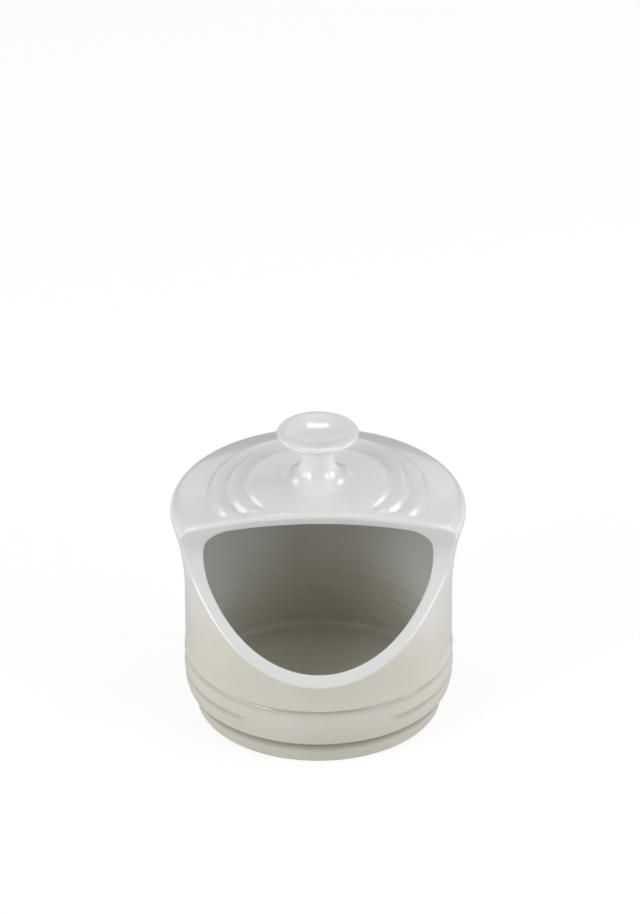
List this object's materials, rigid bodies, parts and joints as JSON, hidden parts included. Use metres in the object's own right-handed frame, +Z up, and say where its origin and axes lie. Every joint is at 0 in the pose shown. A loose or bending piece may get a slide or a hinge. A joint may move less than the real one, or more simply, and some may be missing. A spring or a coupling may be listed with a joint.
{
  "type": "salt pig",
  "caption": "Glazed stoneware salt keeper with a round pot, an open slanted mouth under a domed hood with stepped rings, and a dished knob on a waisted stem.",
  "frame": {"origin": "on the pot's axis, in the plane of the foot ring that it stands on", "axes": "+Z up along the pot's axis towards the knob, the mouth faces -Y, +X is to the right of someone facing the mouth"},
  "size_m": [0.117, 0.112, 0.1237],
  "materials": {
    "white_glaze": "glossy"
  },
  "bodies": {
    "root": {"pot": "white_glaze", "hood": "white_glaze", "knob": "white_glaze"}
  },
  "joints": []
}
